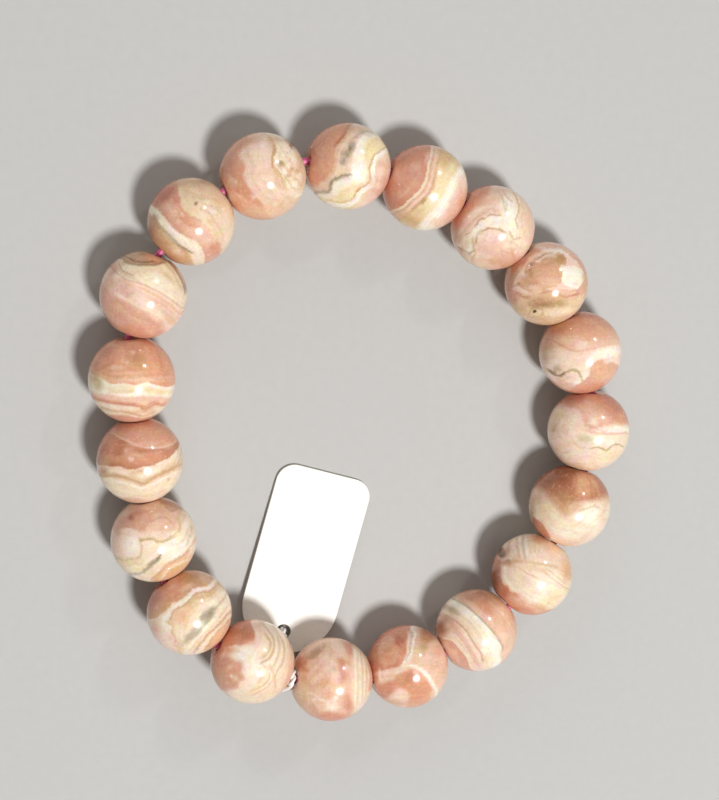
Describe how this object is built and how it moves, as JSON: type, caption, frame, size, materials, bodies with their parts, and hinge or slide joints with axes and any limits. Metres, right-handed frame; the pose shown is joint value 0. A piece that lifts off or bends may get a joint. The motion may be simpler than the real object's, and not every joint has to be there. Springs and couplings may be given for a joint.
{
  "type": "bead bracelet",
  "caption": "Stretch bracelet of round polished banded rhodochrosite beads on pink elastic, lying flat, with a small blank white tag tied to it.",
  "frame": {"origin": "on the table that the beads rest on, under the middle of the ring", "axes": "+Z up from the table, along the ring's own axis; +Y along the ring's longer way, away from the tag; +X to the right, seen from above with +Y up"},
  "size_m": [0.0664, 0.0722, 0.0112],
  "materials": {
    "stone_rose": "polished",
    "stone_peach": "polished",
    "stone_cream": "polished",
    "elastic": "satin",
    "card": "satin",
    "thread": "matt"
  },
  "bodies": {
    "root": {"bead_01": "stone_rose", "bead_02": "stone_cream", "bead_03": "stone_rose", "bead_04": "stone_cream", "bead_05": "stone_peach", "bead_06": "stone_cream", "bead_07": "stone_peach", "bead_08": "stone_peach", "bead_09": "stone_cream", "bead_10": "stone_cream", "bead_11": "stone_peach", "bead_12": "stone_peach", "bead_13": "stone_cream", "bead_14": "stone_cream", "bead_15": "stone_cream", "bead_16": "stone_rose", "bead_17": "stone_peach", "bead_18": "stone_cream", "bead_19": "stone_cream", "elastic_cord": "elastic", "price_tag": "card", "tag_loop": "thread"}
  },
  "joints": []
}
